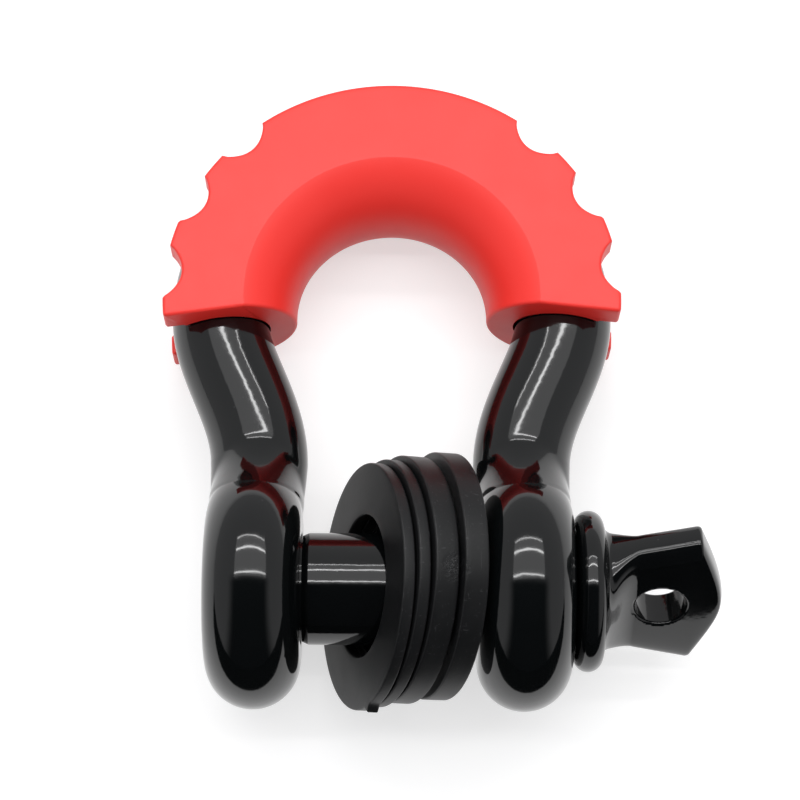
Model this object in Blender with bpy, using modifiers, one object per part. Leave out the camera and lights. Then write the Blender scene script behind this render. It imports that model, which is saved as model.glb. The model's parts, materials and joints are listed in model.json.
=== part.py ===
"""Bow shackle lying on its back: forged bow, screw pin, rubber isolator boot and four washers.

The shackle's own frame has the pin along X, the crown towards +Y and the bow's plane at Z = 0.
An empty lays that frame on the ground, on the two ears and on the boot's crown. Units are metres.
"""

from math import asin, atan2, cos, pi, radians, sin, sqrt, tan

import bmesh
import bpy
from mathutils import Vector

# Driving dimensions of the bow
BAR_DIAMETER = 0.0196
BOW_RADIUS = 0.0352
BOW_CENTRE = 0.0570
JAW_WIDTH = 0.0348
EAR_THICKNESS = 0.0188
EAR_DIAMETER = 0.0478
NECK_INSET = 0.0004
NECK_RISE = 0.0015
ROOT_SINK = 0.0002
LEG_OUT_SHARE = 0.32
LEG_IN_SHARE = 0.38

# Driving dimensions of the screw pin
PIN_DIAMETER = 0.0222
COLLAR_DIAMETER = 0.0320
COLLAR_THICKNESS = 0.0058
HEAD_LENGTH = 0.0236
HEAD_WIDTH = 0.0315
HEAD_NECK_WIDTH = 0.0244
HEAD_NECK_LENGTH = 0.0012
HEAD_FLARE_LENGTH = 0.0066
HEAD_CONE_LENGTH = 0.0055
HEAD_BLUNTNESS = 0.35
TAB_THICKNESS = 0.0080
SCOOP_RADIUS = 0.0050
SCOOP_OFFSET = 0.0013
EYE_DIAMETER = 0.0103
EYE_OFFSET = 0.0113
SHOULDER_CHAMFER = 0.0012
TIP_CHAMFER = 0.0016
TIP_INSET = 0.0015
PIN_TURN = radians(-27.0)

# Driving dimensions of the boot
BOOT_THICKNESS = 0.0304
BOOT_WALL = 0.0055
BOOT_CREASE = 0.0055
BOOT_LIP = 0.0009
BOOT_MOUTH = 0.0160
BOOT_END_DROP = 0.0043
BOOT_END_SLOPE = radians(7.0)
BOOT_TURN = radians(1.2)
NOTCH_WIDTH = 0.0104
NOTCH_DEPTH = 0.0034
NOTCH_FIRST = radians(41.5)
NOTCH_STEP = radians(20.8)
NOTCHES_PER_SIDE = 3

# Driving dimensions of the washers, from the free side of the jaw to the plain ear
WASHER_OVERHANG = 0.0006
WASHER_THICKNESSES = (0.0024, 0.0024, 0.0048, 0.0048)
WASHER_LEAN = radians(20.0)
LAST_WASHER_LEAN = radians(17.0)
WASHER_SWING = radians(2.0)
WASHER_LIFT = 0.0005
WASHER_LIFT_STEP = 0.00075
WASHER_RISE = 0.0004

# Clearances
FIT_GAP = 0.0003
WASHER_GAP = 0.0004
WASHER_BORE_CLEARANCE = 0.0031
PLAIN_HOLE_CLEARANCE = 0.0006
THREAD_DEPTH = 0.0006
BOOT_CLEARANCE = 0.0005

# Sizes that follow from the driving dimensions
BAR_R = BAR_DIAMETER / 2
EAR_R = EAR_DIAMETER / 2
EAR_HALF = EAR_THICKNESS / 2
EAR_X = JAW_WIDTH / 2 + EAR_HALF
PIN_R = PIN_DIAMETER / 2
THREAD_R = PIN_R - THREAD_DEPTH
PLAIN_HOLE_R = PIN_R + PLAIN_HOLE_CLEARANCE
THREADED_HOLE_R = THREAD_R + FIT_GAP
BOOT_HALF = BOOT_THICKNESS / 2
BOOT_TIP = BAR_R + BOOT_LIP
WASHER_R = EAR_R + WASHER_OVERHANG
WASHER_BORE_R = PIN_R + WASHER_BORE_CLEARANCE

# Facets round a full turn, and along a bend
TURN_STEPS = 44
BEND_STEPS = 10
BAR_SIDES = 20
CONE_STEPS = 6
EDGE_CHAMFER = 0.0004


def clear_scene():
    """Remove every object of the start scene."""
    for obj in list(bpy.data.objects):
        bpy.data.objects.remove(obj, do_unlink=True)


def new_collection(name):
    """Make a collection under the scene."""
    collection = bpy.data.collections.new(name)
    bpy.context.scene.collection.children.link(collection)
    return collection


def paint(name, colour, roughness, metallic=0.0):
    """Make a Principled material."""
    material = bpy.data.materials.new(name)
    material.use_nodes = True
    shader = material.node_tree.nodes["Principled BSDF"]
    shader.inputs["Base Color"].default_value = (*colour, 1.0)
    shader.inputs["Roughness"].default_value = roughness
    shader.inputs["Metallic"].default_value = metallic
    return material


def place(obj, collection, location=(0, 0, 0), rotation=(0, 0, 0), parent=None):
    """Link an object and place it in the shackle's frame, or in that of another empty."""
    collection.objects.link(obj)
    obj.parent = parent or LIE
    obj.location = location
    obj.rotation_euler = rotation
    return obj


def as_cutter(obj):
    """Mark an object as a helper that only shapes other objects."""
    obj.hide_render = True
    obj.display_type = "WIRE"
    return obj


def arc(centre, radius, start, end, steps):
    """Points of an arc from one angle to another, both ends included."""
    angles = [start + (end - start) * i / steps for i in range(steps + 1)]
    return [(centre[0] + radius * cos(a), centre[1] + radius * sin(a)) for a in angles]


def turned(name, profile, closed=False):
    """Turn a profile of (x, radius) points, listed from high x to low x, about the X axis."""
    points = [(x, r, 0.0) for x, r in profile]
    edges = [(i, i + 1) for i in range(len(points) - 1)]
    if closed:
        edges.append((len(points) - 1, 0))
    mesh = bpy.data.meshes.new(name)
    mesh.from_pydata(points, edges, [])
    obj = bpy.data.objects.new(name, mesh)
    screw = obj.modifiers.new("Turn", "SCREW")
    screw.axis = "X"
    screw.steps = TURN_STEPS
    screw.render_steps = TURN_STEPS
    screw.use_merge_vertices = True
    screw.merge_threshold = 0.00001
    return obj


def flat_outline(name, points, half_depth):
    """Extrude a closed outline in XY by the same depth to both sides."""
    curve = bpy.data.curves.new(name, "CURVE")
    curve.dimensions = "2D"
    curve.fill_mode = "BOTH"
    curve.extrude = half_depth
    spline = curve.splines.new("POLY")
    spline.points.add(len(points) - 1)
    for point, (x, y) in zip(spline.points, points):
        point.co = (x, y, 0.0, 1.0)
    spline.use_cyclic_u = True
    return bpy.data.objects.new(name, curve)


def to_mesh(obj, collection):
    """Swap a placed curve for a welded mesh of the same name, parent and place."""
    bpy.context.view_layer.update()
    evaluated = obj.evaluated_get(bpy.context.evaluated_depsgraph_get())
    mesh = bpy.data.meshes.new_from_object(evaluated)
    welded = bmesh.new()
    welded.from_mesh(mesh)
    bmesh.ops.remove_doubles(welded, verts=welded.verts, dist=0.000001)
    bmesh.ops.recalc_face_normals(welded, faces=welded.faces)
    welded.to_mesh(mesh)
    welded.free()
    name, location, rotation, parent = obj.name, obj.location.copy(), obj.rotation_euler.copy(), obj.parent
    bpy.data.objects.remove(obj, do_unlink=True)
    solid = bpy.data.objects.new(name, mesh)
    return place(solid, collection, location, rotation, parent)


def boolean(obj, tool, operation):
    """Add a Boolean modifier."""
    modifier = obj.modifiers.new(operation.title(), "BOOLEAN")
    modifier.operation = operation
    modifier.solver = "EXACT"
    modifier.object = tool


def finish(obj, material):
    """Keep the evaluated shape as the object's mesh, with round faces shaded smooth."""
    bpy.context.view_layer.update()
    evaluated = obj.evaluated_get(bpy.context.evaluated_depsgraph_get())
    mesh = bpy.data.meshes.new_from_object(evaluated)
    obj.modifiers.clear()
    obj.data = mesh
    mesh.name = obj.name
    mesh.materials.clear()
    mesh.materials.append(material)
    mesh.shade_smooth()
    mesh.set_sharp_from_angle(angle=radians(35.0))
    return obj


def cylinder_tool(name, radius, length, location, rotation=(0, 0, 0), parent=None):
    """A round cutter along its own Z axis."""
    mesh = bpy.data.meshes.new(name)
    shape = bmesh.new()
    bmesh.ops.create_cone(shape, cap_ends=True, segments=TURN_STEPS, radius1=radius, radius2=radius,
                          depth=length)
    shape.to_mesh(mesh)
    shape.free()
    return as_cutter(place(bpy.data.objects.new(name, mesh), TOOLS, location, rotation, parent))


def end_tool(name, size, edge, turn, parent):
    """A cube whose upper face, turned in the bow's plane, is centred on a given edge point."""
    mesh = bpy.data.meshes.new(name)
    shape = bmesh.new()
    bmesh.ops.create_cube(shape, size=size)
    shape.to_mesh(mesh)
    shape.free()
    centre = edge - Vector((-sin(turn), cos(turn), 0)) * size / 2
    return as_cutter(place(bpy.data.objects.new(name, mesh), TOOLS, centre, (0, 0, turn), parent))


def bow_bar():
    """The round bar: a half circle at the crown, two S-shaped legs and a taper into each ear."""
    neck = EAR_R + NECK_RISE
    neck_x = EAR_X - NECK_INSET
    drop = BOW_CENTRE - neck
    leg_out = LEG_OUT_SHARE * drop
    leg_in = LEG_IN_SHARE * drop
    round_handle = 4.0 / 3.0 * (sqrt(2.0) - 1.0) * BOW_RADIUS
    root = EAR_R - EAR_HALF
    blend = (neck - root) / 3
    root_size = (EAR_HALF - ROOT_SINK) / BAR_R
    right_half = [
        # point, handle towards the crown, handle towards the ear, bar thickness factor
        ((BOW_RADIUS, BOW_CENTRE), (0, round_handle), (0, -leg_out), 1.0),
        ((neck_x, neck), (0, leg_in), (0, -blend), 1.0),
        ((EAR_X, root), (0, blend), (0, -blend), root_size),
    ]
    route = [((-x, y), lower, upper, size) for (x, y), upper, lower, size in reversed(right_half)]
    route.append(((0, BOW_CENTRE + BOW_RADIUS), (-round_handle, 0), (round_handle, 0), 1.0))
    route += right_half

    curve = bpy.data.curves.new("shackle_bow", "CURVE")
    curve.dimensions = "3D"
    curve.resolution_u = BEND_STEPS
    curve.bevel_depth = BAR_R
    curve.bevel_resolution = (BAR_SIDES - 4) // 2
    curve.use_fill_caps = True
    spline = curve.splines.new("BEZIER")
    spline.bezier_points.add(len(route) - 1)
    for knot, ((x, y), before, after, size) in zip(spline.bezier_points, route):
        knot.handle_left_type = "FREE"
        knot.handle_right_type = "FREE"
        knot.co = (x, y, 0)
        knot.handle_left = (x + before[0], y + before[1], 0)
        knot.handle_right = (x + after[0], y + after[1], 0)
        knot.radius = size
    obj = place(bpy.data.objects.new("shackle_bow", curve), PARTS)
    return to_mesh(obj, PARTS)


def ear(name, x, hole_r):
    """A flat ring with a full round rim, about the pin's axis."""
    rim = arc((0, EAR_R - EAR_HALF), EAR_HALF, 0, pi, BEND_STEPS)
    profile = [(EAR_HALF, hole_r)] + rim + [(-EAR_HALF, hole_r)]
    return as_cutter(place(turned(name, profile, closed=True), TOOLS, (x, 0, 0)))


def shackle_bow(material):
    """The forged bow with its plain hole on the right and its threaded hole on the left."""
    bow = bow_bar()
    boolean(bow, ear("ear_left", -EAR_X, THREADED_HOLE_R), "UNION")
    boolean(bow, ear("ear_right", EAR_X, PLAIN_HOLE_R), "UNION")
    return finish(bow, material)


def rounded_cone(apex, length, radius):
    """Profile of a cone whose tip is rounded off as a hyperbola, from its apex to its rim."""
    full = sqrt(1 + HEAD_BLUNTNESS ** 2) - HEAD_BLUNTNESS
    points = []
    for i in range(CONE_STEPS + 1):
        share = i / CONE_STEPS
        drop = (sqrt(share ** 2 + HEAD_BLUNTNESS ** 2) - HEAD_BLUNTNESS) / full
        points.append((apex - length * drop, radius * share))
    return points


def screw_pin(material):
    """The turned pin: domed head blank, collar, shank and threaded end, then flats and an eye."""
    ear_face = JAW_WIDTH / 2 + EAR_THICKNESS
    collar_left = ear_face + FIT_GAP
    collar_right = collar_left + COLLAR_THICKNESS
    collar_half = COLLAR_THICKNESS / 2
    collar_rim = COLLAR_DIAMETER / 2 - collar_half
    apex = collar_right + HEAD_LENGTH
    head_r = HEAD_WIDTH / 2
    neck_r = HEAD_NECK_WIDTH / 2
    tip = TIP_INSET - ear_face
    shoulder = FIT_GAP - JAW_WIDTH / 2

    profile = rounded_cone(apex, HEAD_CONE_LENGTH, head_r)
    profile.append((collar_right + HEAD_FLARE_LENGTH, (neck_r + head_r) / 2))
    profile.append((collar_right + HEAD_NECK_LENGTH, neck_r))
    profile.append((collar_right, collar_rim - collar_half / 2))
    profile += arc(((collar_left + collar_right) / 2, collar_rim), collar_half, radians(30), pi, 7)
    profile.append((collar_left, PIN_R))
    profile.append((shoulder + SHOULDER_CHAMFER, PIN_R))
    profile.append((shoulder, THREAD_R))
    profile.append((tip + TIP_CHAMFER, THREAD_R))
    profile.append((tip, THREAD_R - TIP_CHAMFER))
    profile.append((tip, 0))
    pin = place(turned("screw_pin", profile), PARTS, rotation=(PIN_TURN, 0, 0))

    tab = TAB_THICKNESS / 2
    scoop_start = collar_right + SCOOP_OFFSET
    scoop_centre = (scoop_start + SCOOP_RADIUS, tab + SCOOP_RADIUS)
    beyond = 2 * head_r
    outline = arc(scoop_centre, SCOOP_RADIUS, pi, 1.5 * pi, 6)
    outline += [(apex + tab, tab), (apex + tab, beyond), (scoop_start, beyond)]
    for side in (1, -1):
        flat = flat_outline("flat", [(x, side * y) for x, y in outline], beyond)
        place(flat, TOOLS, rotation=(PIN_TURN, 0, 0))
        boolean(pin, as_cutter(to_mesh(flat, TOOLS)), "DIFFERENCE")

    eye_at = (collar_right + EYE_OFFSET, 0, 0)
    eye = cylinder_tool("eye", EYE_DIAMETER / 2, beyond, eye_at, (PIN_TURN + pi / 2, 0, 0))
    boolean(pin, eye, "DIFFERENCE")
    return finish(pin, material)


def boot_section():
    """Outline of the boot's channel: x outwards from the bar's centre, y across the thickness."""
    channel = BAR_R + BOOT_CLEARANCE
    inner = channel + BOOT_WALL
    bulge = inner - BOOT_CREASE
    wall_r = (BOOT_HALF ** 2 + bulge ** 2) / (2 * bulge)
    wall_half_angle = atan2(BOOT_HALF, wall_r - bulge)
    points = [(BOOT_TIP, BOOT_HALF)]
    points += arc((wall_r - inner, 0), wall_r, pi - wall_half_angle, pi + wall_half_angle, 2 * BEND_STEPS)
    points.append((BOOT_TIP, -BOOT_HALF))
    mouth_angle = asin(BOOT_MOUTH / 2 / channel)
    points.append((BOOT_TIP, -BOOT_MOUTH / 2))
    points += arc((0, 0), channel, 2 * pi - mouth_angle, mouth_angle, 20)
    points.append((BOOT_TIP, BOOT_MOUTH / 2))
    return points


def isolator_boot(material):
    """The rubber boot: a channel bent round the crown, open outwards, with scalloped flanges."""
    crown = bpy.data.objects.new("boot_pivot", None)
    place(crown, PARTS, (0, BOW_CENTRE, 0), (0, 0, BOOT_TURN))
    section = flat_outline("boot_section", boot_section(), 0.0)
    section.data.fill_mode = "NONE"
    as_cutter(place(section, TOOLS))
    curve = bpy.data.curves.new("isolator_boot", "CURVE")
    curve.dimensions = "2D"
    curve.bevel_mode = "OBJECT"
    curve.bevel_object = section
    curve.use_fill_caps = True
    spline = curve.splines.new("POLY")
    tip_r = BOW_RADIUS + BOOT_TIP
    overrun = asin(BOOT_END_DROP / tip_r) + BOOT_END_SLOPE
    bend = arc((0, 0), BOW_RADIUS, -overrun, pi + overrun, 4 * BEND_STEPS)
    spline.points.add(len(bend) - 1)
    for point, (x, y) in zip(spline.points, bend):
        point.co = (x, y, 0.0, 1.0)
    boot = to_mesh(place(bpy.data.objects.new("isolator_boot", curve), PARTS, parent=crown), PARTS)

    depth = 2 * BOOT_THICKNESS
    notch_r = (NOTCH_WIDTH ** 2 / 4 + NOTCH_DEPTH ** 2) / (2 * NOTCH_DEPTH)
    notch_reach = tip_r - NOTCH_DEPTH + notch_r
    for number in range(NOTCHES_PER_SIDE):
        for side in (1, -1):
            angle = pi / 2 + side * (NOTCH_FIRST + number * NOTCH_STEP)
            place_at = (notch_reach * cos(angle), notch_reach * sin(angle), 0)
            boolean(boot, cylinder_tool("notch", notch_r, depth, place_at, parent=crown), "DIFFERENCE")
    for side in (1, -1):
        edge = Vector((side * tip_r, -BOOT_END_DROP, 0))
        boolean(boot, end_tool("boot_end", depth, edge, -side * BOOT_END_SLOPE, crown), "DIFFERENCE")
    return finish(boot, material)


def washer(name, thickness, x, y, lean, material):
    """A flat ring with broken edges, leaning on the pin."""
    half = thickness / 2
    outer = WASHER_R
    edge = EDGE_CHAMFER
    profile = [
        (half, outer - edge),
        (half - edge, outer),
        (edge - half, outer),
        (-half, outer - edge),
        (-half, WASHER_BORE_R + edge),
        (edge - half, WASHER_BORE_R),
        (half - edge, WASHER_BORE_R),
        (half, WASHER_BORE_R + edge),
    ]
    ring = place(turned(name, profile, closed=True), PARTS, (x, y, WASHER_RISE), (0, lean, WASHER_SWING))
    return finish(ring, material)


def washers(material):
    """The leaning stack: the last washer rests on the round rim of the plain ear, the others on its edge."""
    last = len(WASHER_THICKNESSES) - 1
    last_cos = cos(LAST_WASHER_LEAN) * cos(WASHER_SWING)
    last_sin = sqrt(1 - last_cos ** 2)
    reach = (EAR_R - EAR_HALF) * last_sin + EAR_HALF + WASHER_GAP
    right_face = EAR_X - reach / last_cos
    step_back = WASHER_R * cos(WASHER_LEAN) * (tan(WASHER_LEAN) - tan(LAST_WASHER_LEAN))
    made = []
    for i in range(last, -1, -1):
        lean = LAST_WASHER_LEAN if i == last else WASHER_LEAN
        lean_cos = cos(lean) * cos(WASHER_SWING)
        thickness = WASHER_THICKNESSES[i]
        x = right_face - thickness / 2 / lean_cos
        y = WASHER_LIFT + i * WASHER_LIFT_STEP
        made.append(washer(f"washer_{i + 1}", thickness, x, y, lean, material))
        right_face -= (thickness + WASHER_GAP) / lean_cos
        if i == last:
            right_face -= step_back
    return made


def lie_on_ground(parts):
    """Turn the shackle so that ears and boot touch the ground, with the origin under its middle."""
    crown_y = BOW_CENTRE + BOW_RADIUS + BOOT_TIP
    crown_reach = sqrt(crown_y ** 2 + BOOT_HALF ** 2)
    LIE.rotation_euler.x = atan2(BOOT_HALF, crown_y) - asin(EAR_R / crown_reach)
    bpy.context.view_layer.update()
    corners = [part.matrix_world @ vertex.co for part in parts for vertex in part.data.vertices]
    low = Vector([min(c[k] for c in corners) for k in range(3)])
    high = Vector([max(c[k] for c in corners) for k in range(3)])
    LIE.location = (-(low.x + high.x) / 2, -(low.y + high.y) / 2, -low.z)
    bpy.context.view_layer.update()


clear_scene()
PARTS = new_collection("Bow shackle")
TOOLS = new_collection("Cutters")
LIE = bpy.data.objects.new("lie", None)
PARTS.objects.link(LIE)

GLOSS_BLACK = paint("gloss_black", (0.012, 0.012, 0.013), 0.18, 0.3)
PIN_BLACK = paint("pin_black", (0.014, 0.014, 0.015), 0.20, 0.3)
RED_RUBBER = paint("red_rubber", (0.80, 0.055, 0.040), 0.45)
BLACK_PLASTIC = paint("black_plastic", (0.020, 0.021, 0.022), 0.42)

pieces = [shackle_bow(GLOSS_BLACK), screw_pin(PIN_BLACK), isolator_boot(RED_RUBBER)]
pieces += washers(BLACK_PLASTIC)
lie_on_ground(pieces)

for piece in pieces:
    print(piece.name, "stands at", [round(v, 5) for v in piece.matrix_world.translation])
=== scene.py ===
# %% [markdown]
# # A bow shackle, dressed
# The imported CAD part is loaded as a fixed frame. Each of its seven solids is then replaced by a finer
# skin of the same size, and every skin gets a finish of its own: gloss paint, rubber or plastic.
# The dressed shackle must not outgrow it.

# %% Load the imported part
import json

import bpy
import numpy as np
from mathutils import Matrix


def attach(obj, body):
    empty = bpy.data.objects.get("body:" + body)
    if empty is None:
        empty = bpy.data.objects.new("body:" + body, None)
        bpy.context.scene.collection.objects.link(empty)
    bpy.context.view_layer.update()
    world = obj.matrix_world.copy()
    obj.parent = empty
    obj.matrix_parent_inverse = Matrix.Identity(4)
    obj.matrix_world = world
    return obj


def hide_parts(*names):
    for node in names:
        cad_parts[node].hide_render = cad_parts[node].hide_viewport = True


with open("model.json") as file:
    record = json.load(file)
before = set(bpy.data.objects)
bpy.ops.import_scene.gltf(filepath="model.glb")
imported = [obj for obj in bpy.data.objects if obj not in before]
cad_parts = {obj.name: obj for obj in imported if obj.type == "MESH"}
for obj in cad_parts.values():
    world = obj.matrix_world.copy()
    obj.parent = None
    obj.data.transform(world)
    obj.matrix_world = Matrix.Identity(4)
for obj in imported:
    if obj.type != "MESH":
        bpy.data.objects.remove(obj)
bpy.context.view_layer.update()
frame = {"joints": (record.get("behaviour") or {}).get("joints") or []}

# %% [markdown]
# ## The shackle's own axes
# The real shackle lies on its back, on its two ears and on the boot, so its plane is a few degrees off
# the ground. Every formula is easier in the shackle's own frame: the pin along X, the crown of the bow
# towards Y. The boot's hinge gives that frame, since it turns about the middle of the bow.

# %% Axes from the boot's hinge
joints = {joint["name"]: joint for joint in frame["joints"]}
BOW_CENTRE = 0.0570
across = np.array([1.0, 0.0, 0.0])
upward = np.array(joints["boot_shift"]["axis"], float)
upward /= np.linalg.norm(upward)
crownward = np.cross(upward, across)
pin_middle = np.array(joints["boot_shift"]["pos_m"]) - BOW_CENTRE * crownward


def laid(points):
    """The middle of the pin, plus each coordinate of a point times the axis that it belongs to."""
    return pin_middle + points @ np.stack([across, crownward, upward])


print("middle of the pin in mm:", np.round(pin_middle * 1000, 2).tolist())

# %% [markdown]
# ## From a grid of points to a closed skin
# A shape here is a grid of points that numpy works out in one go: its columns run round the piece and
# its rows run along it. The faces of such a grid follow from counting alone. An open tube gets a flat
# polygon at both ends, and a ring's last row joins its first. The volume that the faces enclose comes
# out negative when they look inwards, and then all of them are turned round.


# %% Skins and pieces
def skin(grid, ring=False):
    """Points and faces of a closed skin: each face joins a point, its neighbour in the row, and the
    two points below them in the next row."""
    rows, columns = grid.shape[:2]
    points = grid.reshape(-1, 3)
    row = np.arange(rows if ring else rows - 1)[:, None]
    column = np.arange(columns)[None, :]
    beside = (column + 1) % columns
    below = (row + 1) % rows
    corners = (row * columns + column, row * columns + beside, below * columns + beside,
               below * columns + column)
    quads = np.stack(np.broadcast_arrays(*corners), axis=-1).reshape(-1, 4)
    a, b, c, d = (points[quads[:, k]] - points.mean(0) for k in range(4))
    volume = (np.cross(a, b) * c + np.cross(a, c) * d).sum() / 6
    faces = quads.tolist()
    if not ring:
        faces += [list(range(columns))[::-1], list(range((rows - 1) * columns, rows * columns))]
    if volume < 0:
        faces = [face[::-1] for face in faces]
    return points, faces


def piece(name, skins, body, node, sharp=50.0):
    """One object of one or more closed skins, which stands for a CAD node and rides on its body."""
    firsts = np.cumsum([0] + [len(points) for points, _ in skins])
    points = np.concatenate([points for points, _ in skins])
    faces = [[corner + first for corner in face] for first, (_, some) in zip(firsts, skins) for face in some]
    mesh = bpy.data.meshes.new(name)
    mesh.from_pydata(laid(points).tolist(), [], faces)
    mesh.shade_smooth()
    mesh.set_sharp_from_angle(angle=np.radians(sharp))
    obj = bpy.data.objects.new(name, mesh)
    bpy.context.scene.collection.objects.link(obj)
    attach(obj, body)
    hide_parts(node)
    print(f"{name}: {len(points)} points, {len(faces)} faces")
    return obj


# %% [markdown]
# ## Outlines with soft corners
# Nothing forged, turned or moulded has a corner that is truly sharp, and a small round catches a thin
# line of light. So an outline is written as corners with a radius each. Long straight sides then get
# more points, because the later steps bend, scallop or thread them.


# %% Rounded and filled outlines
def rounded(corners, closed=True, steps=6):
    """Each corner (u, v, radius) becomes an arc that touches both its sides: the arc's centre is on the
    corner's bisector, at radius / sin(half the angle), and its points turn evenly between the feet."""
    corners = np.array(corners, float)
    spots = corners[:, :2]
    before, after = np.roll(spots, 1, axis=0), np.roll(spots, -1, axis=0)
    share = np.linspace(0, 1, steps + 1)[:, None]
    runs = []
    for k, (spot, radius) in enumerate(zip(spots, corners[:, 2])):
        if radius == 0 or (not closed and k in (0, len(spots) - 1)):
            runs.append(spot[None])
            continue
        back = (before[k] - spot) / np.linalg.norm(before[k] - spot)
        ahead = (after[k] - spot) / np.linalg.norm(after[k] - spot)
        half = np.arccos(np.clip(back @ ahead, -1, 1)) / 2
        centre = spot + (back + ahead) / np.linalg.norm(back + ahead) * radius / np.sin(half)
        start = spot + back * radius / np.tan(half) - centre
        end = spot + ahead * radius / np.tan(half) - centre
        turn = np.pi - 2 * half
        runs.append(centre + (np.sin((1 - share) * turn) * start + np.sin(share * turn) * end) / np.sin(turn))
    return np.concatenate(runs)


def filled(outline, spacing, closed=True):
    """Each side is cut into equal steps, as many as its length holds spacings."""
    ends = np.roll(outline, -1, axis=0) if closed else outline[1:]
    starts = outline if closed else outline[:-1]
    count = np.maximum(1, np.ceil(np.linalg.norm(ends - starts, axis=1) / spacing)).astype(int)
    side = np.repeat(np.arange(len(starts)), count)
    step = np.arange(count.sum()) - np.repeat(np.cumsum(count) - count, count)
    points = starts[side] + (ends - starts)[side] * (step / count[side])[:, None]
    return points if closed else np.concatenate([points, outline[-1:]])


def turned(outline, columns):
    """A grid from an outline of (x, radius): every point goes round the X axis in equal steps."""
    angle = np.arange(columns) / columns * 2 * np.pi
    x, radius = outline[:, 0, None], outline[:, 1, None]
    return np.stack(np.broadcast_arrays(x, radius * np.cos(angle), radius * np.sin(angle)), axis=-1)


# %% [markdown]
# ## The bow: its centre line
# The bow is one forging: a round bar bent to a half circle at the crown, with an S-shaped leg on each
# side that runs into a thick eye. The line through the middle of the bar is a quarter circle and two
# Bezier curves, drawn for the right side and mirrored for the left.

# %% Centre line of the bar
BAR_R = 0.0098
BOW_RADIUS = 0.0352
EAR_X = 0.0268
EAR_R = 0.0239
EAR_HALF = 0.0094
PLAIN_HOLE_R = 0.0117
THREADED_HOLE_R = 0.0108
NECK = (EAR_X - 0.0004, EAR_R + 0.0015)
ROOT = (EAR_X, EAR_R - EAR_HALF)
ROOT_R = EAR_HALF - 0.0002


def bezier(start, leave, arrive, end, count):
    """The start, the two handles and the end, weighted by (1-t)^3, 3t(1-t)^2, 3t^2(1-t) and t^3."""
    t = np.linspace(0, 1, count)[:, None]
    weights = np.hstack([(1 - t) ** 3, 3 * t * (1 - t) ** 2, 3 * t ** 2 * (1 - t), t ** 3])
    return weights @ np.array([start, leave, arrive, end], float)


drop = BOW_CENTRE - NECK[1]
dip = (NECK[1] - ROOT[1]) / 3
quarter = np.linspace(0, np.pi / 2, 64)[:, None]
crown = BOW_RADIUS * np.hstack([np.sin(quarter), np.cos(quarter)]) + [0, BOW_CENTRE]
leg = bezier((BOW_RADIUS, BOW_CENTRE), (BOW_RADIUS, BOW_CENTRE - 0.32 * drop),
             (NECK[0], NECK[1] + 0.38 * drop), NECK, 72)
root = bezier(NECK, (NECK[0], NECK[1] - dip), (ROOT[0], ROOT[1] + dip), ROOT, 28)
right_line = np.concatenate([crown, leg[1:], root[1:]])
right_bar_r = np.concatenate([np.full(len(crown) + len(leg) - 1, BAR_R), np.linspace(BAR_R, ROOT_R, 28)[1:]])
line = np.concatenate([right_line[:0:-1] * [-1, 1], right_line])
line_r = np.concatenate([right_bar_r[:0:-1], right_bar_r])
print("length of the bar in mm:", round(np.linalg.norm(np.diff(line, axis=0), axis=1).sum() * 1000, 1))

# %% [markdown]
# ## The bow: legs that flow into the ears
# The forging die has no sharp inner corners: above and below, the leg widens like a trumpet and runs out
# on the ear's round rim, while at the sides leg and ear are one flush face. A Boolean with a bevel
# struggles where two surfaces nearly touch. So the bar's own grid makes the trumpet: each of its points
# moves out along its normal until it lies on the round of a ball that rolls between bar and ear.

# %% Trumpet between bar and ear
TRUMPET = 0.0062
FLUSH = 0.0012
SINK = 0.00001
TRUMPET_FADE = 0.0035
TRUMPET_REACH = 0.0110


def from_ear(points):
    """Distance from an ear's skin, left or right: from the flat disc inside the ear, less its round."""
    side = np.abs(points[..., 0]) - EAR_X
    out = np.maximum(np.hypot(points[..., 1], points[..., 2]) - (EAR_R - EAR_HALF), 0)
    return np.hypot(side, out) - EAR_HALF


def flared(points, normals):
    """With k the ball's radius, s the way out along the normal and e the ear's distance at that spot, s is
    halved down until (k - s)^2 + (k - e)^2 = k^2. A term in brackets that is below zero counts as zero,
    and k is widest where the normal points up or down, and shrinks to nothing at the root. The ear counts
    as a hair thinner than it is."""
    rise = np.clip((points[..., 1] - ROOT[1]) / TRUMPET_FADE, 0, 1)
    ball = (TRUMPET * normals[..., 2] ** 2 + FLUSH) * rise ** 2 * (3 - 2 * rise)
    low, high = np.zeros(points.shape[:2]), np.full(points.shape[:2], TRUMPET_REACH)
    for _ in range(30):
        s = (low + high) / 2
        e = from_ear(points + s[..., None] * normals) + SINK
        inside = np.hypot(np.maximum(ball - s, 0), np.maximum(ball - e, 0)) > ball
        low, high = np.where(inside, s, low), np.where(inside, high, s)
    return points + high[..., None] * normals


# %% Bar and ears
def bar_grid(columns=120):
    """The centre line plus the bar's radius times (cos a, sin a), in the plane square to the line."""
    along = np.gradient(line, axis=0)
    along /= np.linalg.norm(along, axis=1, keepdims=True)
    angle = np.arange(columns) / columns * 2 * np.pi
    side = np.stack([along[:, 1], -along[:, 0], np.zeros(len(line))], axis=-1)
    normals = side[:, None] * np.cos(angle)[:, None] + np.array([0, 0, 1.0]) * np.sin(angle)[:, None]
    middle = np.pad(line, ((0, 0), (0, 1)))[:, None]
    return flared(middle + line_r[:, None, None] * normals, normals)


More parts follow.
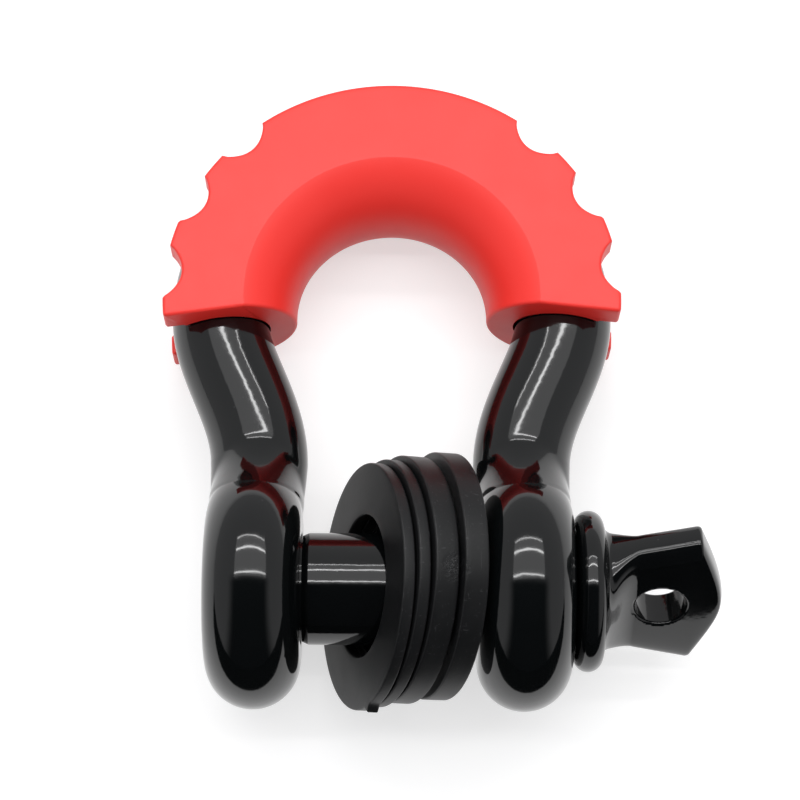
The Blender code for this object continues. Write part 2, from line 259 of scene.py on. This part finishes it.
def ear_grid(x, hole_r):
    """A ring about the pin: flat sides, a rim that is a full half round, and a broken edge at the hole."""
    turn = np.linspace(0, np.pi, 49)
    rim = np.stack([EAR_HALF * np.cos(turn), EAR_R - EAR_HALF + EAR_HALF * np.sin(turn), 0 * turn], axis=-1)
    corners = np.vstack([rim, [(-EAR_HALF, hole_r, 0.0008), (EAR_HALF, hole_r, 0.0008)]])
    return turned(filled(rounded(corners), 0.0008), 176) + [x, 0, 0]


bow_skins = [skin(bar_grid()), skin(ear_grid(-EAR_X, THREADED_HOLE_R), ring=True),
             skin(ear_grid(EAR_X, PLAIN_HOLE_R), ring=True)]
bow = piece("bow_forging", bow_skins, "bow", "shackle_bow")

# %% [markdown]
# ## The screw pin
# The pin starts as a turned blank: a thread, a plain shank, a collar with a full round rim and a head
# that widens to a blunt cone. The head is then pressed flat to a tab. Each row of the grid is a circle
# of the blank's radius between two flat dies. In polar form that is the smaller of the radius and the
# die's distance over the sine of the angle. A power mean of the two, in place of the smaller one, also
# rounds the tab's edges. The thread is a triangle wave that climbs one pitch in a turn.

# %% Outline of the pin's blank
PIN_R = 0.0111
THREAD_R = 0.0105
THREAD_PITCH = 0.00282
THREAD_DEPTH = 0.0011
JAW_HALF = EAR_X - EAR_HALF
EAR_FACE = EAR_X + EAR_HALF
COLLAR = (EAR_FACE + 0.0003, EAR_FACE + 0.0061)
COLLAR_HALF = (COLLAR[1] - COLLAR[0]) / 2
COLLAR_RIM = 0.0160 - COLLAR_HALF
HEAD_R = 0.0174
CONE_HEIGHT = 0.0055
APEX = COLLAR[1] + 0.0236
SHOULDER = 0.0003 - JAW_HALF
TIP = 0.0015 - EAR_FACE
BLUNT = 0.35
PIN_TURN = np.radians(-27.0)

share = np.append(np.linspace(0.006, 0.92, 36), 1.0)
cone = np.stack([APEX - CONE_HEIGHT * (np.hypot(share, BLUNT) - BLUNT) / (np.hypot(1, BLUNT) - BLUNT),
                 HEAD_R * share, 0 * share], axis=-1)
cone[-1, 2] = 0.0009
bend = np.radians(np.linspace(12, 180, 48))
collar = np.stack([(COLLAR[0] + COLLAR[1]) / 2 + COLLAR_HALF * np.cos(bend),
                   COLLAR_RIM + COLLAR_HALF * np.sin(bend), 0 * bend], axis=-1)
head = [(COLLAR[1] + 0.0066, 0.0144, 0.0200), (COLLAR[1], 0.0120, 0.0012)]
shank = [(COLLAR[0], PIN_R, 0.0004), (SHOULDER + 0.0012, PIN_R, 0.0006), (SHOULDER, THREAD_R, 0.0003)]
end = [(TIP + 0.0016, THREAD_R, 0.0004), (TIP, THREAD_R - 0.0016, 0.0003), (TIP, 0.0001, 0)]
blank = rounded(np.vstack([cone, head, collar, shank, end]), closed=False)
blank = filled(blank, 0.00025, closed=False)
print("rows of the pin:", len(blank))

# %% Pin, flattened and threaded
TAB_HALF = 0.0040
SCOOP_X = COLLAR[1] + 0.0064
SCOOP_LENGTH, SCOOP_HEIGHT = 0.0062, 0.0078
SCOOP_POWER, EDGE_POWER = 1.4, 5.0


def pin_grid(outline, columns=168):
    """Polar radius: the power mean of the blank's radius and of the die's distance over the sine. The die
    leaves the tab along the quarter of a lean ellipse of its own power. The thread takes a triangle wave of
    x / pitch + angle / turn off the radius, and fades out at its ends."""
    x, radius = outline[:, 0, None], outline[:, 1, None]
    angle = np.arange(columns)[None, :] / columns * 2 * np.pi
    up = np.maximum(SCOOP_X - x, 0) / SCOOP_LENGTH
    scoop = 1 - (1 - np.minimum(up, 1) ** SCOOP_POWER) ** (1 / SCOOP_POWER)
    die = TAB_HALF + SCOOP_HEIGHT * scoop + 0.30 * np.maximum(up - 1, 0)
    flat = die / np.maximum(np.abs(np.sin(angle)), 0.001)
    shaped = (radius ** -EDGE_POWER + flat ** -EDGE_POWER) ** (-1 / EDGE_POWER)
    climb = (x / THREAD_PITCH + angle / (2 * np.pi)) % 1
    fade = np.clip((SHOULDER - 0.0012 - x) / 0.0020, 0, 1) * np.clip((x - TIP) / 0.0008, 0, 1)
    cut = THREAD_DEPTH * fade * np.clip(1.25 * (1 - np.abs(2 * climb - 1)) - 0.12, 0, 1)
    shaped = shaped - np.minimum(cut, 0.8 * shaped)
    y, z = shaped * np.sin(angle), shaped * np.cos(angle)
    return np.stack([np.broadcast_to(x, y.shape), y, z], axis=-1)


def spun(points, angle):
    """Points turned about the pin's axis: y and z mix by the angle's cosine and sine."""
    c, s = np.cos(angle), np.sin(angle)
    return np.stack([points[..., 0], c * points[..., 1] - s * points[..., 2],
                     s * points[..., 1] + c * points[..., 2]], axis=-1)


pin = piece("pin_forging", [skin(spun(pin_grid(blank), PIN_TURN))], "pin", "screw_pin")

# %% [markdown]
# ## The eye in the tab
# The eye is drilled through the flat tab, and paint and countersink leave a soft rim. A hole through a
# skin changes how it hangs together, which no single grid can do, so this one step is a Boolean with a
# spool: a cylinder that flares where it leaves the tab.

# %% Drill the eye
EYE_R = 0.00515
EYE_X = COLLAR[1] + 0.0113

depth = np.concatenate([[-0.012], np.linspace(-TAB_HALF - 0.0002, TAB_HALF + 0.0002, 49), [0.012]])
flare = 0.0004 * np.clip((np.abs(depth) - TAB_HALF + 0.0005) / 0.0005, 0, 1.4) ** 2
spool = turned(np.stack([depth, EYE_R + flare], axis=-1), 96)[..., [1, 0, 2]] + [EYE_X, 0, 0]
spool_points, spool_faces = skin(spun(spool, PIN_TURN))
drill_mesh = bpy.data.meshes.new("eye_drill")
drill_mesh.from_pydata(laid(spool_points).tolist(), [], spool_faces)
drill = bpy.data.objects.new("eye_drill", drill_mesh)
bpy.context.scene.collection.objects.link(drill)
cut = pin.modifiers.new("Eye", "BOOLEAN")
cut.operation = "DIFFERENCE"
cut.solver = "EXACT"
cut.object = drill
bpy.context.view_layer.update()
drilled = bpy.data.meshes.new_from_object(pin.evaluated_get(bpy.context.evaluated_depsgraph_get()))
pin.modifiers.clear()
pin.data = drilled
bpy.data.objects.remove(drill)
drilled.shade_smooth()
drilled.set_sharp_from_angle(angle=np.radians(50.0))
print("pin after drilling:", len(drilled.polygons), "faces")

# %% [markdown]
# ## The isolator boot
# The boot is a rubber moulding that is pressed over the crown from inside. Its section is a channel: a
# rounded inner wall, two flat flanges with a crease between wall and flange, and a round seat for the
# bar. The section is carried round the bow. Both ends are cut by a slanted plane, so each point of the
# section has its own end angle, and the flange tips move in and out to make the scalloped grip.

# %% Section of the boot
BOOT_HALF = 0.0152
BOOT_TIP = BAR_R + 0.0009
CHANNEL_R = BAR_R + 0.0005
INNER = CHANNEL_R + 0.0055
CREASE = 0.0055
MOUTH = 0.0080
LIP_ROUND = 0.0007
bulge = INNER - CREASE
wall_r = (BOOT_HALF ** 2 + bulge ** 2) / (2 * bulge)
wall_half = np.arctan2(BOOT_HALF, wall_r - bulge)

sweep = np.linspace(np.pi - wall_half, np.pi + wall_half, 61)
wall = np.stack([wall_r - INNER + wall_r * np.cos(sweep), wall_r * np.sin(sweep), 0 * sweep], axis=-1)
wall[[0, -1], 2] = 0.0004
mouth_turn = np.arcsin(MOUTH / CHANNEL_R)
seat_turn = np.linspace(2 * np.pi - mouth_turn, mouth_turn, 53)
seat = np.stack([CHANNEL_R * np.cos(seat_turn), CHANNEL_R * np.sin(seat_turn), 0 * seat_turn], axis=-1)
section = np.vstack([[(BOOT_TIP, BOOT_HALF, LIP_ROUND)], wall, [(BOOT_TIP, -BOOT_HALF, LIP_ROUND),
                     (BOOT_TIP, -MOUTH, LIP_ROUND)], seat, [(BOOT_TIP, MOUTH, LIP_ROUND)]])
section = filled(rounded(section), 0.0007)
tangent = np.roll(section, -1, axis=0) - np.roll(section, 1, axis=0)
inward = np.stack([-tangent[:, 1], tangent[:, 0]], axis=-1) / np.linalg.norm(tangent, axis=1, keepdims=True)
print("points round the boot's section:", len(section))

# %% Sweep of the boot
TIP_R = BOW_RADIUS + BOOT_TIP
END_SLOPE = np.radians(7.0)
END_DROP = 0.0043
END_ROUND = 0.0007
NOTCH_HALF = 0.0052
NOTCH_DEPTH = 0.0034
NOTCH_R = (NOTCH_HALF ** 2 + NOTCH_DEPTH ** 2) / (2 * NOTCH_DEPTH)
NOTCH_OUT = TIP_R - NOTCH_DEPTH + NOTCH_R
NOTCH_ANGLES = np.radians([41.5, 62.3, 83.1])
NOTCH_BLEND = 0.0030
BOOT_TURN = np.radians(1.2)
FLANGE_FROM, FLANGE_TO = 0.0058, BOOT_TIP - 0.0009


def soft_min(a, b, blend):
    """The smaller of two values, with the corner between them rounded over a given width."""
    h = np.clip(blend - np.abs(a - b), 0, None) / blend
    return np.minimum(a, b) - h ** 2 * blend / 4


def tip_radius(angle):
    """The flange's tip: the full radius, or the near side of a scallop's circle where that is smaller.
    A circle of radius q at distance D is met at D cos d - sqrt(q^2 - D^2 sin^2 d), d off its middle."""
    off = np.abs(np.abs(angle - np.pi / 2)[..., None] - NOTCH_ANGLES).min(-1)
    inside = NOTCH_R ** 2 - (NOTCH_OUT * np.sin(off)) ** 2
    scallop = NOTCH_OUT * np.cos(off) - np.sqrt(np.maximum(inside, 0)) + np.where(inside < 0, 0.05, 0)
    return soft_min(scallop, TIP_R, NOTCH_BLEND)


def boot_grid(rows=320):
    """Radius = the bow's radius plus the section's x. A point's end angle solves radius x sin(slope -
    angle) = constant, which puts all the ends on one slanted plane. Near an end the section draws in
    by the height of a quarter round, but not in the seat, which hugs the bar. Scallops move the flange's tip
    in as a whole, and the strip behind it closes up."""
    start = BOW_RADIUS + section[:, 0]
    end_angle = END_SLOPE - np.arcsin((TIP_R * np.sin(END_SLOPE) - END_DROP * np.cos(END_SLOPE)) / start)
    edge = END_ROUND * (1 - np.cos(np.linspace(0, np.pi / 2, 6)))
    draw = END_ROUND * (1 - np.sin(np.linspace(0, np.pi / 2, 6)))
    run = np.linspace(0, 1, rows)[:, None]
    first = -end_angle + END_ROUND / start
    last = np.pi + end_angle - END_ROUND / start
    angle = np.vstack([-end_angle + edge[:-1, None] / start, first + (last - first) * run,
                       (np.pi + end_angle - edge[:-1, None] / start)[::-1]])
    in_seat = np.hypot(section[:, 0], section[:, 1]) < CHANNEL_R + 0.00001
    pull = np.concatenate([draw[:-1], np.zeros(rows), draw[:-1][::-1]])[:, None] * ~in_seat
    x = section[:, 0] + pull * inward[:, 0]
    z = section[:, 1] + pull * inward[:, 1]
    flange = np.clip((x - FLANGE_FROM) / (FLANGE_TO - FLANGE_FROM), 0, 1)
    radius = BOW_RADIUS + x - flange * (TIP_R - tip_radius(angle))
    angle = angle + BOOT_TURN
    return np.stack([radius * np.cos(angle), BOW_CENTRE + radius * np.sin(angle), z], axis=-1)


boot = piece("boot_moulding", [skin(boot_grid())], "boot", "isolator_boot")

# %% [markdown]
# ## The washers
# Four plastic washers take up the slack in the jaw: two thin, two thick. Their bores are wider than the
# pin, so they lean: the last one rests on the round rim of the right ear, and the other three lean a
# little further, on its edge. Each is a turned ring, laid over by its lean and a small swing, and set
# beside its neighbour along the pin.

# %% Washers
WASHER_R = 0.0245
WASHER_BORE_R = PIN_R + 0.0031
WASHER_GAP = 0.0004
WASHER_RISE = 0.0004
LEAN, LAST_LEAN, SWING = np.radians((20.0, 17.0, 2.0))
NIB_ANGLE, NIB_WIDTH = np.radians(176.25), 0.035
WASHERS = [("washer_4", "thick_washer_b", 0.0048, 0.00275, LAST_LEAN, 0.0),
           ("washer_3", "thick_washer_a", 0.0048, 0.00200, LEAN, 0.0),
           ("washer_2", "thin_washer_b", 0.0024, 0.00125, LEAN, 0.0),
           ("washer_1", "thin_washer_a", 0.0024, 0.00050, LEAN, 0.0012)]


def washer_grid(thickness, x, y, lean, nib):
    """A turned ring with soft edges, and a nib of flash on its rim that falls off as exp(-angle^2). Then
    (x, z) turn by the lean, (x, y) by the swing, and all of it moves to its place."""
    half = thickness / 2
    corners = [(half, WASHER_BORE_R, 0.0003), (half, WASHER_R, 0.0004), (-half, WASHER_R, 0.0004),
               (-half, WASHER_BORE_R, 0.0003)]
    u, v, w = np.moveaxis(turned(filled(rounded(corners), 0.0012), 192), -1, 0)
    on_rim = np.hypot(v, w) > WASHER_R - 0.0005
    grown = 1 + on_rim * nib / WASHER_R * np.exp(-((np.arctan2(w, v) - NIB_ANGLE) / NIB_WIDTH) ** 2)
    v, w = v * grown, w * grown
    u, w = np.cos(lean) * u + np.sin(lean) * w, np.cos(lean) * w - np.sin(lean) * u
    u, v = np.cos(SWING) * u - np.sin(SWING) * v, np.sin(SWING) * u + np.cos(SWING) * v
    return np.stack([x + u, y + v, WASHER_RISE + w], axis=-1)


last_cos = np.cos(LAST_LEAN) * np.cos(SWING)
right_face = EAR_X - ((EAR_R - EAR_HALF) * np.sqrt(1 - last_cos ** 2) + EAR_HALF + WASHER_GAP) / last_cos
washers = []
for node, body, thickness, lift, lean, nib in WASHERS:
    lean_cos = np.cos(lean) * np.cos(SWING)
    grid = washer_grid(thickness, right_face - thickness / 2 / lean_cos, lift, lean, nib)
    washers.append(piece(f"{node}_ring", [skin(grid, ring=True)], body, node))
    right_face -= (thickness + WASHER_GAP) / lean_cos
    if lean == LAST_LEAN:
        right_face -= WASHER_R * np.cos(LEAN) * (np.tan(LEAN) - np.tan(LAST_LEAN))

# %% [markdown]
# ## Shader maths as plain sums
# Procedural materials are long chains of nodes. A small class that wraps a socket lets them be written
# as sums: an operator adds a Math node, and one method adds any other node.


# %% A socket that can be reckoned with
class Wire:
    """A socket of a node tree. Its operators add Math nodes, and node() adds any other kind."""

    def __init__(self, tree, socket):
        self.tree = tree
        self.socket = socket

    def node(self, kind, settings, sockets, out=0):
        """Add a node: first its settings (and a ramp's stops), then values or wires for its sockets."""
        made = self.tree.nodes.new(kind)
        for key, value in settings.items():
            if key == "stops":
                elements = made.color_ramp.elements
                while len(elements) < len(value):
                    elements.new(1.0)
                for element, (position, colour) in zip(elements, value):
                    element.position = position
                    element.color = colour
            else:
                setattr(made, key, value)
        for key, value in sockets.items():
            if isinstance(value, Wire):
                self.tree.links.new(value.socket, made.inputs[key])
            else:
                made.inputs[key].default_value = value
        return Wire(self.tree, made.outputs[out])

    def maths(self, operation, first, second):
        return self.node("ShaderNodeMath", {"operation": operation}, {0: first, 1: second})

    def __add__(self, other):
        return self.maths("ADD", self, other)

    def __sub__(self, other):
        return self.maths("SUBTRACT", self, other)

    def __rsub__(self, other):
        return self.maths("SUBTRACT", other, self)

    def __mul__(self, other):
        return self.maths("MULTIPLY", self, other)

    __radd__ = __add__
    __rmul__ = __mul__

    def noise(self, scale, detail=2.0, roughness=0.5):
        """Cloudy noise from 0 to 1 at so many cells to the metre."""
        return self.node("ShaderNodeTexNoise", {}, {"Vector": self, "Scale": scale, "Detail": detail,
                                                    "Roughness": roughness})

    def above(self, low, high):
        """0 below the low value, 1 above the high one, and smooth between them."""
        return self.node("ShaderNodeMapRange", {"interpolation_type": "SMOOTHSTEP"},
                         {"Value": self, "From Min": low, "From Max": high})

    def between(self, first, second):
        """A colour between two others, by this value."""
        return self.node("ShaderNodeMix", {"data_type": "RGBA"}, {0: self, 6: first, 7: second}, out=2)


def new_finish(name, **constants):
    """A material with its Principled shader and its Object coordinates; constants go on the sockets."""
    material = bpy.data.materials.new(name)
    material.use_nodes = True
    tree = material.node_tree
    shader = tree.nodes["Principled BSDF"]
    for key, value in constants.items():
        shader.inputs[key.replace("_", " ")].default_value = value
    spot = Wire(tree, tree.nodes.new("ShaderNodeTexCoord").outputs["Object"])
    return material, shader, spot


def feed(shader, **wires):
    """Link wires to the shader's sockets by name."""
    for key, wire in wires.items():
        wire.tree.links.new(wire.socket, shader.inputs[key.replace("_", " ")])


# %% [markdown]
# ## Gloss black paint
# The bow and the pin are powder coated: deep black, very glossy, with the faint waviness of a coat that
# has flowed before it set, and a little dust that settled on it. The waves are bump at two sizes, and
# the dust is a sparse speckle that is paler and rougher than the paint.


# %% Paint for bow and pin
def gloss_black(name, colour, peel_scale, wave_scale, roughness):
    material, shader, spot = new_finish(name, IOR=1.5, Specular_IOR_Level=0.5)
    peel = spot.noise(peel_scale, 1.0)
    wave = spot.noise(wave_scale, 2.0)
    dust = spot.noise(2600.0, 1.0).above(0.78, 0.84) * spot.noise(160.0, 2.0).above(0.45, 0.70)
    coat = wave.between((*colour, 1.0), tuple(1.5 * c for c in colour) + (1.0,))
    height = wave * 0.7 + peel * 0.3
    bump = spot.node("ShaderNodeBump", {}, {"Strength": 0.55, "Distance": 0.00006, "Height": height})
    feed(shader, Base_Color=dust.between(coat, (0.16, 0.16, 0.17, 1.0)),
         Roughness=roughness + 0.05 * spot.noise(220.0, 3.0) + 0.35 * dust, Normal=bump)
    return material


bow.data.materials.append(gloss_black("bow_paint", (0.0018, 0.0023, 0.0025), 520.0, 110.0, 0.055))
pin.data.materials.append(gloss_black("pin_paint", (0.0016, 0.0020, 0.0022), 700.0, 150.0, 0.050))

# %% [markdown]
# ## Red rubber
# The boot is moulded in a satin red rubber. Its colour is strong and even, a touch deeper in faint
# clouds, with the fine grain of the mould and a few pale rubs. A soft gloss spreads the light widely.

# %% Rubber for the boot
material, shader, spot = new_finish("boot_rubber", IOR=1.5, Specular_IOR_Level=0.5)
cloud = spot.noise(38.0, 3.0)
grain = spot.noise(1900.0, 2.0)
flow = spot.noise(240.0, 3.0)
rub = spot.noise(420.0, 5.0, 0.7).above(0.68, 0.80) * 0.22
tint = cloud.between((0.82, 0.022, 0.016, 1.0), (0.88, 0.034, 0.024, 1.0))
bump = spot.node("ShaderNodeBump", {}, {"Strength": 0.30, "Distance": 0.00008,
                                        "Height": grain * 0.5 + flow * 0.5})
feed(shader, Base_Color=rub.between(tint, (0.93, 0.14, 0.11, 1.0)),
     Roughness=0.40 + 0.10 * flow + 0.30 * rub, Normal=bump)
boot.data.materials.append(material)

# %% [markdown]
# ## Black plastic
# The washers are moulded in a satin black plastic. Handling leaves fine scratches that run
# every way and a grey bloom of dust. Scratches come from noise that is stretched thin along one axis and
# turned a little, twice, and they show in the roughness more than in the colour. Two scars are torn bumps
# round a given spot: where the moulding was broken off its gate, and a chip on the last washer's edge.

# %% Plastic for the washers
material, shader, spot = new_finish("washer_plastic", IOR=1.48, Specular_IOR_Level=0.32)
lines = []
for turn, squeeze in (((0.3, 0.5, 0.4), (2600.0, 40.0, 2600.0)), ((1.2, -0.4, 1.9), (40.0, 2200.0, 2200.0))):
    stretched = spot.node("ShaderNodeMapping", {}, {"Vector": spot, "Rotation": turn, "Scale": squeeze})
    lines.append(stretched.noise(1.0, 2.0).above(0.66, 0.74))
scratch = lines[0] + lines[1]
bloom = spot.noise(90.0, 4.0, 0.6)
grain = spot.noise(1500.0, 2.0)
tint = bloom.between((0.0040, 0.0043, 0.0048, 1.0), (0.0085, 0.0090, 0.0098, 1.0))
SCARS = [((0.0028, -0.0392, 0.0464), 0.0012, 0.0036), ((0.0064, -0.0190, 0.0392), 0.0003, 0.0012)]
scar = 0.0
for place, near, far in SCARS:
    away = spot.node("ShaderNodeVectorMath", {"operation": "DISTANCE"}, {0: spot, 1: place}, out=1)
    scar = scar + (1.0 - away.above(near, far))
torn = scar * spot.noise(900.0, 4.0, 0.7).above(0.42, 0.58)
bump = spot.node("ShaderNodeBump", {}, {"Strength": 0.25, "Distance": 0.00005,
                                        "Height": grain * 0.6 - scratch * 0.4 - torn * 14.0})
feed(shader, Base_Color=(scratch * 0.10 + torn * 0.04).between(tint, (0.20, 0.20, 0.21, 1.0)),
     Roughness=0.36 + 0.14 * bloom + 0.08 * scratch - 0.12 * torn, Normal=bump)
for washer in washers:
    washer.data.materials.append(material)
print("materials:", [m.name for m in bpy.data.materials if m.users])

# %% [markdown]
# ## Floor and light
# Small goods are shot in a white light tent: three long lamps in the roof, white cloth behind and at the
# sides, and a dark opening in front where the camera looks in. Gloss black shows exactly that room: thin
# bright lines from the lamps, grey from the cloth, black from the opening. The room is built the same way,
# with three strips, one weak roof panel and a pale world. The opening is dark to mirrors only, so that the
# inside of the boot still gets light from the front.

# %% Floor
FLOOR = 3.0

floor_mesh = bpy.data.meshes.new("floor")
floor_mesh.from_pydata([(-FLOOR, -FLOOR, 0), (FLOOR, -FLOOR, 0), (FLOOR, FLOOR, 0), (-FLOOR, FLOOR, 0)], [],
                       [(0, 1, 2, 3)])
floor = bpy.data.objects.new("floor", floor_mesh)
bpy.context.scene.collection.objects.link(floor)
material, shader, spot = new_finish("floor_white", Base_Color=(0.60, 0.60, 0.60, 1.0), Roughness=0.9,
                                    Specular_IOR_Level=0.0, Emission_Strength=1.0)
ray = spot.tree.nodes.new("ShaderNodeLightPath").outputs
seen = sum(Wire(spot.tree, ray[kind]) for kind in ("Is Camera Ray", "Is Glossy Ray", "Is Transmission Ray"))
feed(shader, Emission_Color=seen.between((0.0, 0.0, 0.0, 1.0), (0.55, 0.55, 0.55, 1.0)))
floor_mesh.materials.append(material)

# %% [markdown]
# ## A black card
# Gloss black paint is only as black as what it mirrors. A photographer lays a black card in front, just
# outside the picture, so that flat faces that lean forward go dark. The card here is for mirrors only:
# the camera doesn't see it, and it takes no light from the rest.

# %% Card
CARD_EDGE, CARD_Z = -0.115, 0.001

card_mesh = bpy.data.meshes.new("black_card")
card_mesh.from_pydata([(-FLOOR, -FLOOR, CARD_Z), (FLOOR, -FLOOR, CARD_Z), (FLOOR, CARD_EDGE, CARD_Z),
                       (-FLOOR, CARD_EDGE, CARD_Z)], [], [(0, 1, 2, 3)])
card = bpy.data.objects.new("black_card", card_mesh)
bpy.context.scene.collection.objects.link(card)
card.visible_camera = card.visible_diffuse = card.visible_shadow = card.visible_transmission = False
material, shader, spot = new_finish("card_black", Roughness=0.9, Specular_IOR_Level=0.0)
feed(shader, Base_Color=spot.noise(60.0).between((0.008, 0.008, 0.008, 1.0), (0.016, 0.016, 0.016, 1.0)))
card_mesh.materials.append(material)


# %% Lamps and world
def lamp(name, place, size, radiance):
    """A rectangle that faces down. Its power is its radiance times pi times its area."""
    light = bpy.data.lights.new(name, "AREA")
    light.shape = "RECTANGLE"
    light.size, light.size_y = size
    light.energy = radiance * np.pi * size[0] * size[1]
    obj = bpy.data.objects.new(name, light)
    obj.location = place
    bpy.context.scene.collection.objects.link(obj)


ROOF = 0.55
STRIPS = [(0.017, 0.014), (0.26, 0.024), (0.42, 0.014)]
for number, (back, width) in enumerate(STRIPS):
    lamp(f"strip_{number + 1}", (0.0, back, ROOF), (0.76, width), 17.0)
lamp("roof_panel", (0.0, 0.22, ROOF + 0.01), (0.80, 0.48), 0.95)

world = bpy.data.worlds.new("tent")
bpy.context.scene.world = world
world.use_nodes = True
background = world.node_tree.nodes["Background"]
way = Wire(world.node_tree, world.node_tree.nodes.new("ShaderNodeTexCoord").outputs["Generated"])
aside = way.node("ShaderNodeSeparateXYZ", {}, {0: way})
depth = way.node("ShaderNodeSeparateXYZ", {}, {0: way}, out=1)
mirrored = Wire(world.node_tree, world.node_tree.nodes.new("ShaderNodeLightPath").outputs["Is Glossy Ray"])
opening = mirrored * (-1.0 * depth).above(-0.12, 0.04) * (1.0 - (aside * aside).above(0.30, 0.65))
tone = opening.between((0.62, 0.62, 0.63, 1.0), (0.02, 0.02, 0.022, 1.0))
world.node_tree.links.new(tone.socket, background.inputs["Color"])

# %% [markdown]
# ## Camera
# The camera looks down steeply with a long lens. Its place was found by fitting the known shape of the
# ears, the pin and the bow to the picture.

# %% Camera and view
camera = bpy.data.objects.new("camera", bpy.data.cameras.new("camera"))
bpy.context.scene.collection.objects.link(camera)
camera.location = (-0.0100, -0.1178, 0.5117)
camera.rotation_euler = np.radians((13.432, -0.327, 0.485))
camera.data.lens = 111.7
camera.data.sensor_width = 36.0
camera.data.clip_start = 0.01
bpy.context.scene.camera = camera
bpy.context.scene.view_settings.view_transform = "Standard"
